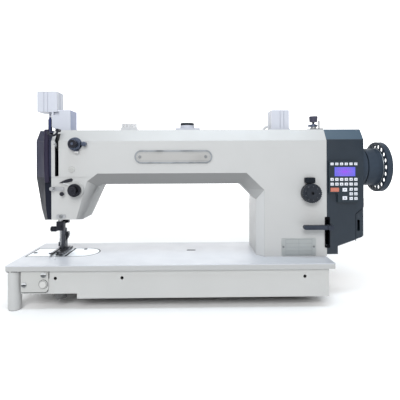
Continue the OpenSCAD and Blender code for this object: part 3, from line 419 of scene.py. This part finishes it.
FINISH = {
    "bed_casting": bed_enamel,
    "rest_post": white_enamel,
    "rubber_foot": black_rubber,
    "skirt_cover_plate": skirt_white,
    "side_button": button_white,
    "needle_plate": plate_steel,
    "hook_cover_plate": plate_steel,
    "feed_dog": dark_steel,
    "feed_bar": dark_steel,
    "hook": bright_steel,
    "bobbin_case": bright_steel,
    "bobbin": rivet_metal,
    "lower_shaft": bright_steel,
    "lower_pulley": dark_steel,
    "upper_pulley": dark_steel,
    "timing_belt": black_rubber,
    "main_shaft": bright_steel,
    "handwheel": wheel_black,
    "motor_housing": wheel_black,
    "needle_frame": black_oxide,
    "needle_bar": bar_steel,
    "needle": bar_steel,
    "needle_clamp": black_oxide,
    "thumb_screw": black_oxide,
    "inner_foot": dark_steel,
    "presser_bar": dark_steel,
    "outer_foot": dark_steel,
    "lift_rod": rod_steel.material,
    "lift_cylinder": air_white,
    "lift_bracket": air_white,
    "arm_casting": white_enamel,
    "face_cover": cover_black,
    "arm_top_cover": white_enamel,
    "badge_plate": badge_rim,
    "rating_plate": rating_silver,
    "fasteners": screw_steel.material,
    "take_up_lever": bright_steel,
    "upper_tension": tension_steel.material,
    "upper_tension_knob": black_oxide,
    "lower_tension": black_oxide,
    "lower_tension_knob": black_oxide,
    "check_spring": bright_steel,
    "thread_guides": guide_steel.material,
    "stitch_dial": knob_black,
    "dial_pointer": tab_black,
    "reverse_lever": lever_steel,
    "slot_plate": slot_black,
    "reverse_cylinder": air_white,
    "air_tube": tube_white,
    "winder_base": bar_steel,
    "winder_spindle": winder_cap,
    "winder_lever": tension_steel.material,
    "filler_base": air_white,
    "filler_cap": knob_black,
    "ribbed_guide": clear_guide,
    "motor_cover": cover_slate,
    "control_panel": panel_black,
    "display_window": display_glow,
    "keypad": key_white,
    "orange_key": key_orange,
}

# Width in millimetres of the broken edge; the other parts have the small one.
SMALL_EDGE = 0.3
SOFT_EDGE = {
    "arm_casting": 0.9,
    "face_cover": 1.6,
    "motor_cover": 1.6,
    "bed_casting": 0.5,
    "handwheel": 0.8,
    "motor_housing": 1.0,
    "lift_cylinder": 0.8,
    "lift_bracket": 0.8,
    "reverse_cylinder": 0.8,
}


def soften(obj, width_mm):
    """Breaks the sharp edges of a CAD part, as casting, moulding or a file does."""
    weld = obj.modifiers.new("weld", "WELD")
    weld.merge_threshold = 0.00001
    bevel = obj.modifiers.new("edge", "BEVEL")
    bevel.width = width_mm * MM
    bevel.segments = 2
    bevel.limit_method = "ANGLE"
    bevel.angle_limit = math.radians(28)
    bevel.use_clamp_overlap = True
    shading = obj.modifiers.new("shading", "WEIGHTED_NORMAL")
    shading.weight = 80


for name, obj in NODES.items():
    obj.data.materials.clear()
    obj.data.materials.append(FINISH[name])
    soften(obj, SOFT_EDGE.get(name, SMALL_EDGE))

# ---------------------------------------------------------------- fine detail


def add_piece(name, mesh_maker, material, body, edge_mm=0.0):
    """Makes one named piece from a bmesh, gives it its finish, and lets it ride on a body."""
    work = bmesh.new()
    mesh_maker(work)
    bmesh.ops.recalc_face_normals(work, faces=work.faces)
    mesh = bpy.data.meshes.new(name)
    work.to_mesh(mesh)
    work.free()
    obj = bpy.data.objects.new(name, mesh)
    bpy.context.scene.collection.objects.link(obj)
    mesh.materials.append(material)
    if edge_mm:
        soften(obj, edge_mm)
    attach(obj, body)
    return obj


def loft(work, rings):
    """A closed solid through rings of points, all with as many points."""
    placed = [[work.verts.new(point) for point in ring] for ring in rings]
    count = len(placed[0])
    for lower, upper in zip(placed, placed[1:]):
        for k in range(count):
            work.faces.new((lower[k], lower[(k + 1) % count], upper[(k + 1) % count], upper[k]))
    work.faces.new(placed[0])
    work.faces.new(placed[-1])


def front_prism(work, outline, front, back):
    """A flat plate: an outline of (x, z) points between two depths."""
    loft(work, [[Vector((x, y, z)) for x, z in outline] for y in (front, back)])


def bar(work, x0, x1, z0, z1, front, back):
    front_prism(work, [(x0, z0), (x1, z0), (x1, z1), (x0, z1)], front, back)


def circle(x, z, radius, count=24, start=0.0, turn=2 * math.pi):
    steps = [start + turn * k / count for k in range(count)]
    return [(x + radius * math.cos(a), z + radius * math.sin(a)) for a in steps]


def stadium(x0, x1, z0, z1, count=16):
    """A long outline with half-round ends, in (x, z)."""
    radius = (z1 - z0) / 2
    middle = (z0 + z1) / 2
    right = circle(x1 - radius, middle, radius, count, -math.pi / 2, math.pi)
    left = circle(x0 + radius, middle, radius, count, math.pi / 2, math.pi)
    return right + [(x1 - radius, z1)] + left + [(x0 + radius, z0)]


def closed_strip(work, lines):
    """A ring-shaped solid through closed lines of points; the last line joins the first."""
    placed = [[work.verts.new(point) for point in line] for line in lines]
    count = len(placed[0])
    for a, b in zip(placed, placed[1:] + placed[:1]):
        for k in range(count):
            after = (k + 1) % count
            work.faces.new((a[k], a[after], b[after], b[k]))


def frame_band(work, outer, inner, front, back):
    """A flat band between two outlines of (x, z) points that have as many points."""
    closed_strip(work, [[Vector((x, y, z)) for x, z in line] for line, y in (
        (outer, front), (inner, front), (inner, back), (outer, back))])


# Painted shade: the dark strip that runs down the front edge of the face cover, bowed a little to the left.
SHADE_STRIP_WIDTH = 9.6 * MM
SHADE_STRIP_PROUD = 4.5 * MM
SHADE_STRIP_LENGTH = 104 * MM
SHADE_STRIP_INSET = 7.6 * MM
SHADE_STRIP_BOW = 1.6 * MM
SHADE_STRIP_STEPS = 24


def front_shade_strip(work):
    half = SHADE_STRIP_WIDTH / 2
    section = [
        (-half, 0), (-half, -0.55), (-0.62 * half, -0.92), (0, -1),
        (0.62 * half, -0.92), (half, -0.55), (half, 0),
    ]
    rings = []
    for k in range(SHADE_STRIP_STEPS + 1):
        t = k / SHADE_STRIP_STEPS
        centre_x = face_high.x - SHADE_STRIP_INSET - SHADE_STRIP_BOW * math.sin(math.pi * t)
        z = face_high.z - SHADE_STRIP_LENGTH * t
        rings.append([Vector((centre_x + x, face_low.y + depth * SHADE_STRIP_PROUD, z)) for x, depth in section])
    loft(work, rings)


add_piece("front_shade_strip", front_shade_strip, front_shade_black, "base", 0.6)

# Painted shadow: a dark strip along the step of the motor cover's recess.
RECESS_SHADOW_WIDTH = 1.3 * MM
RECESS_X = 660.4


def recess_shadow_line(work):
    foot = at(RECESS_X, FACE_Y - 0.1, 30)
    knee = at(RECESS_X, FACE_Y + 0.3, 84)
    end = at(674.5, FACE_Y, 96)
    front, back = foot.y, knee.y
    bar(work, foot.x - RECESS_SHADOW_WIDTH, foot.x, foot.z, knee.z, front, back)
    slope = [
        (knee.x - RECESS_SHADOW_WIDTH, knee.z), (knee.x, knee.z - RECESS_SHADOW_WIDTH),
        (end.x, end.z - RECESS_SHADOW_WIDTH), (end.x, end.z),
    ]
    front_prism(work, slope, front - 0.02 * MM, back)


add_piece("recess_shadow_line", recess_shadow_line, tab_black, "base")

# The dark joint line round the stitch plates: square at the left, round at the right.
plate_low = corners("needle_plate")[0]
plate_high = corners("hook_cover_plate")[1]
JOINT = 2.2 * MM
JOINT_TOP = 0.06
JOINT_FOOT = -0.2
SEAM_WIDTH = 4.0 * MM


def plate_joint(work):
    lines = []
    middle_y = (plate_low.y + plate_high.y) / 2
    for grow in (JOINT, 0.0):
        radius = (plate_high.y - plate_low.y) / 2 + grow
        arc = circle(plate_high.x + grow - radius, middle_y, radius, 32, -math.pi / 2, math.pi)
        left = plate_low.x - grow
        lines.append(arc + [(left, middle_y + radius), (left, middle_y - radius)])
    outer, inner = lines
    levels = [(outer, JOINT_TOP), (inner, JOINT_TOP), (inner, JOINT_FOOT), (outer, JOINT_FOOT)]
    closed_strip(work, [[Vector((x, y, bed_high.z + level * MM)) for x, y in line] for line, level in levels])


add_piece("plate_joint", plate_joint, joint_dark, "base")


def seam_shadow(work):
    """The dark slot between the needle plate and the hook's cover plate."""
    middle = (corners("needle_plate")[1].x + corners("hook_cover_plate")[0].x) / 2
    half = SEAM_WIDTH / 2
    bottom = bed_high.z + JOINT_FOOT * MM
    top = bed_high.z + 0.1 * MM
    bar(work, middle - half, middle + half, bottom, top, plate_low.y + MM, plate_high.y - MM)


add_piece("seam_shadow", seam_shadow, joint_dark, "base")

# Painted shade: dark discs behind the tapped holes in the front of the skirt.
SKIRT_HOLES = (83.6, 205.7, 544.0)
SKIRT_HOLE_Z = -24.5
SKIRT_BACK = 12.05


def hole_shade_discs(work):
    for x in SKIRT_HOLES:
        spot = at(x, SKIRT_BACK, SKIRT_HOLE_Z)
        front_prism(work, circle(spot.x, spot.z, 5 * MM), spot.y, spot.y + MM)


add_piece("hole_shade_discs", hole_shade_discs, joint_dark, "base")

SKIRT_FRONT = 2.92
BUTTON_RING = (8.5 * MM, 7.6 * MM)
CORNER_RADIUS = 6 * MM
CORNER_STEPS = 8


def skirt_lines(work):
    """A dark joint ring round the button, painted shadow along the cover plate's bottom edge, round its lower
    right corner and beside its right edge, and the slots of its screws.
    """
    low, high = corners("skirt_cover_plate")
    button_low, button_high = corners("side_button")
    button = (button_low + button_high) / 2
    front = at(0, SKIRT_FRONT, 0).y
    back = front + 0.3 * MM
    frame_band(work, *(circle(button.x, button.z, radius) for radius in BUTTON_RING), front, back)
    # Painted shadow along the plate's bottom edge, round its lower right corner and beside its right edge.
    bar(work, low.x, high.x - 5 * MM, low.z, low.z + 1.0 * MM, front, back)
    quarter = math.pi / 2 * CORNER_STEPS / (CORNER_STEPS - 1)
    centre = (high.x - CORNER_RADIUS, low.z + CORNER_RADIUS)
    outer, inner = (
        circle(*centre, radius, CORNER_STEPS, -math.pi / 2, quarter)
        for radius in (CORNER_RADIUS, CORNER_RADIUS - 1.2 * MM)
    )
    front_prism(work, outer + inner[::-1], front - 0.02 * MM, back - 0.1 * MM)
    step_front, step_back = at(0, 4.85, 0).y, at(0, 5.1, 0).y
    bar(work, high.x, high.x + 1.3 * MM, high.z - 13 * MM, high.z, step_front, step_back)
    for low, high in skirt_screws:
        middle = (low.z + high.z) / 2
        bar(work, low.x + 0.5 * MM, high.x - 0.5 * MM, middle - 1.9 * MM, middle - 0.1 * MM,
            low.y - 0.08 * MM, low.y + 0.2 * MM)


add_piece("skirt_lines", skirt_lines, joint_dark, "base")

POST_SHADOWS = ((-3.6, 0.8), (4.6, 15.5))


def post_shadow(work):
    """Painted shadow: the broken dark strips between the front left post's top and the bed plate."""
    for start, end in POST_SHADOWS:
        low = at(start, 0.9, -1.5 - PLATE_THICK)
        high = at(end, 3.0, -0.02 - PLATE_THICK)
        bar(work, low.x, high.x, low.z, high.z, low.y, high.y)


add_piece("post_shadow", post_shadow, joint_dark, "base")

# The badge's blank silver field, with a fine line inside its rim, and the rating plate's ruled blank form.
badge_low, badge_high = corners("badge_plate")
BADGE_RIM = 3.2 * MM
BADGE_LINE = (5.0 * MM, 5.6 * MM)
badge_front = badge_low.y + 0.40 * MM


def badge_outline(inset):
    return stadium(badge_low.x + inset, badge_high.x - inset, badge_low.z + inset, badge_high.z - inset)


def badge_field(work):
    front_prism(work, badge_outline(BADGE_RIM), badge_front, badge_low.y + 0.8 * MM)


def badge_line(work):
    front = badge_front - 0.08 * MM
    frame_band(work, *map(badge_outline, BADGE_LINE), front, badge_front + 0.1 * MM)


add_piece("badge_field", badge_field, badge_silver, "base")
add_piece("badge_line", badge_line, badge_rim, "base")

rating_low, rating_high = corners("rating_plate")
RULE_ROWS = 5


def rating_rules(work):
    front = rating_low.y - 0.08 * MM
    back = rating_low.y + 0.1 * MM
    edge = 2.2 * MM
    line = 0.45 * MM
    x0 = rating_low.x + 8 * MM
    x1 = rating_high.x - 8 * MM
    z0 = rating_low.z + edge
    z1 = rating_high.z - edge
    for k in range(RULE_ROWS):
        z = z0 + (z1 - z0) * k / (RULE_ROWS - 1)
        bar(work, x0, x1, z - line / 2, z + line / 2, front, back)
    for x in (x0, (x0 + x1) / 2, x1):
        bar(work, x - line / 2, x + line / 2, z0, z1, front, back)


add_piece("rating_rules", rating_rules, badge_rim, "base")

# Marks on the keys: a bar, a ring, a triangle and a cross, in turn.
MARK_PROUD = 0.10 * MM


def key_marks(work):
    for k, (low, high) in enumerate(islands(NODES["keypad"])):
        x = (low.x + high.x) / 2
        z = (low.z + high.z) / 2
        half = min(high.x - low.x, high.z - low.z) * 0.26
        front = low.y - MARK_PROUD
        back = low.y + MARK_PROUD
        kind = k % 4
        if kind == 0:
            bar(work, x - half, x + half, z - half * 0.3, z + half * 0.3, front, back)
        elif kind == 1:
            frame_band(work, circle(x, z, half, 16), circle(x, z, half * 0.55, 16), front, back)
        elif kind == 2:
            foot = z - half * 0.8
            front_prism(work, [(x - half, foot), (x + half, foot), (x, z + half)], front, back)
        else:
            bar(work, x - half, x + half, z - half * 0.22, z + half * 0.22, front, back)
            bar(work, x - half * 0.22, x + half * 0.22, z - half, z + half, front - 0.02 * MM, back)


add_piece("key_marks", key_marks, key_mark, "base")

# Seven-segment figures on the display, two rows of blank eights.
DIGIT_ROWS = 2
DIGITS = 8
DIGIT_STROKE = 0.42 * MM
# Shares of the display's width and height: the margins, and how far the figures fill what is left.
SIDE_MARGIN = 0.09
FOOT_MARGIN = 0.12
ROW_PITCH = 0.44
ROW_FILL = 0.62
LINE_FILL = 0.82
DIGIT_FILL = 0.66


def display_digits(work):
    low, high = corners("display_window")
    front = low.y - 0.06 * MM
    back = low.y + 0.06 * MM
    width = (high.x - low.x) * LINE_FILL / DIGITS
    height = (high.z - low.z) * ROW_FILL / DIGIT_ROWS
    half = DIGIT_STROKE / 2
    for row in range(DIGIT_ROWS):
        z0 = low.z + (high.z - low.z) * (FOOT_MARGIN + ROW_PITCH * row)
        for k in range(DIGITS):
            x0 = low.x + (high.x - low.x) * SIDE_MARGIN + width * k
            x1 = x0 + width * DIGIT_FILL
            for level in (0, 0.5, 1):
                z = z0 + height * level
                bar(work, x0, x1, z - half, z + half, front, back)
            for x in (x0, x1):
                bar(work, x - half, x + half, z0, z0 + height, front + 0.02 * MM, back)


add_piece("display_digits", display_digits, digit_tint, "base")

# The stitch dial's scale: short pale strokes near the rim.
dial_low, dial_high = corners("stitch_dial")
dial_x = (dial_low.x + dial_high.x) / 2
dial_z = (dial_low.z + dial_high.z) / 2
dial_radius = (dial_high.x - dial_low.x) / 2
dial_face = dial_low.y + 2 * MM
SCALE_STROKES = 9
SCALE_INSET = 6.4
SHORT_STROKE = 1.4
LONG_STROKE = 2.6


def dial_scale(work):
    for k in range(SCALE_STROKES):
        a = 2 * math.pi * k / SCALE_STROKES
        along = Vector((math.cos(a), 0, math.sin(a)))
        across = Vector((-math.sin(a), 0, math.cos(a))) * 0.4 * MM
        length = SHORT_STROKE if k % 3 else LONG_STROKE
        rings = []
        for y in (dial_face - 0.1 * MM, dial_face + 0.1 * MM):
            centre = Vector((dial_x, y, dial_z))
            inner = centre + along * (dial_radius - SCALE_INSET * MM)
            outer = centre + along * (dial_radius - (SCALE_INSET - length) * MM)
            rings.append([inner - across, outer - across, outer + across, inner + across])
        loft(work, rings)


add_piece("dial_scale", dial_scale, scale_grey, "dial")

# A bright clamping ring where the handwheel's hub meets its holed flange.
wheel_low, wheel_high = corners("handwheel")
wheel_y = (wheel_low.y + wheel_high.y) / 2
wheel_z = (wheel_low.z + wheel_high.z) / 2
wheel_radius = (wheel_high.z - wheel_low.z) / 2
RING_SIDES = 96


def wheel_ring(work):
    x = wheel_low.x + 29.2 * MM
    radius = wheel_radius - 13.2 * MM
    section = [
        (x + along * MM, radius + rise * MM)
        for along, rise in (
            (-0.7, 0), (-0.5, 0.5), (0, 0.7), (0.5, 0.5), (0.7, 0), (0.7, -0.4), (-0.7, -0.4))
    ]
    lines = []
    for k in range(RING_SIDES):
        a = 2 * math.pi * k / RING_SIDES
        lines.append([
            Vector((along, wheel_y + r * math.cos(a), wheel_z + r * math.sin(a))) for along, r in section
        ])
    closed_strip(work, lines)


add_piece("wheel_ring", wheel_ring, badge_rim, "main_drive")

# ---------------------------------------------------------------- stage, light and camera


def stage_plane(name, points, paint):
    """A flat sheet that belongs to the stage, not to the machine."""
    mesh = bpy.data.meshes.new(name)
    mesh.from_pydata(points, [], [(0, 1, 2, 3)])
    sheet = bpy.data.objects.new(name, mesh)
    bpy.context.scene.collection.objects.link(sheet)
    sheet.data.materials.append(paint.material)


def place_on_floor():
    g = Graph("pale_floor")
    g.link(g.ramp(g.noise(g.mapping(), 3.0), [(0.2, (0.93, 0.93, 0.93)), (0.8, (0.95, 0.95, 0.95))]),
        g.shader.inputs["Base Color"])
    g.shader.inputs["Roughness"].default_value = 0.8
    g.shader.inputs["Specular IOR Level"].default_value = 0.2
    half = 6.0
    stage_plane("floor", [(-half, -half, 0), (half, -half, 0), (half, half, 0), (-half, half, 0)], g)


def place_backdrop():
    """A bright white wall well behind the machine, as in a photographer's studio."""
    g = Graph("bright_wall")
    tone = g.ramp(g.noise(g.mapping(), 0.4), [(0.2, (0.97, 0.97, 0.97)), (0.8, (1.0, 1.0, 1.0))])
    g.link(tone, g.shader.inputs["Base Color"])
    g.link(tone, g.shader.inputs["Emission Color"])
    g.shader.inputs["Emission Strength"].default_value = 0.8
    g.shader.inputs["Roughness"].default_value = 0.9
    half = 3.5
    away = 1.8
    height = 3.0
    points = [(-half, away, 0), (half, away, 0), (half, away, height), (-half, away, height)]
    stage_plane("backdrop", points, g)


def area_light(name, spot, target, size, power, colour=(1, 1, 1)):
    data = bpy.data.lights.new(name, "AREA")
    data.shape = "RECTANGLE"
    data.size, data.size_y = size
    data.energy = power
    data.color = colour
    obj = bpy.data.objects.new(name, data)
    obj.location = spot
    obj.rotation_euler = (Vector(target) - Vector(spot)).to_track_quat("-Z", "Y").to_euler()
    bpy.context.scene.collection.objects.link(obj)


place_on_floor()
place_backdrop()
area_light("key", (-0.25, -2.1, 1.5), (0, 0, 0.2), (1.5, 1.0), 42)
area_light("top", (0.15, -0.55, 2.1), (0, 0.05, 0.1), (1.4, 0.5), 16, (0.80, 0.91, 1.0))

world = bpy.data.worlds.new("studio")
world.use_nodes = True
world.node_tree.nodes["Background"].inputs["Color"].default_value = (1, 1, 1, 1)
world.node_tree.nodes["Background"].inputs["Strength"].default_value = 0.45
bpy.context.scene.world = world
bpy.context.scene.view_settings.view_transform = "Standard"

# The camera stands in front of the arm and looks level, with a slight turn and lean in radians.
CAMERA_SPOT = (-0.02602, -0.73966, 0.27396)
YAW = 0.01482
ROLL = -0.00424
camera_data = bpy.data.cameras.new("camera")
camera_data.sensor_width = 36.0
camera_data.lens = 31.95
camera_data.shift_y = -0.0988
camera_data.clip_end = 30.0
camera = bpy.data.objects.new("camera", camera_data)
bpy.context.scene.collection.objects.link(camera)
side = Vector((math.cos(YAW), -math.sin(YAW), 0))
ahead = Vector((math.sin(YAW), math.cos(YAW), 0))
up = Vector((0, 0, 1))
right = side * math.cos(ROLL) + up * math.sin(ROLL)
top = up * math.cos(ROLL) - side * math.sin(ROLL)
axes = Matrix((right, top, -ahead)).transposed()
camera.matrix_world = Matrix.Translation(CAMERA_SPOT) @ axes.to_4x4()
bpy.context.scene.camera = camera
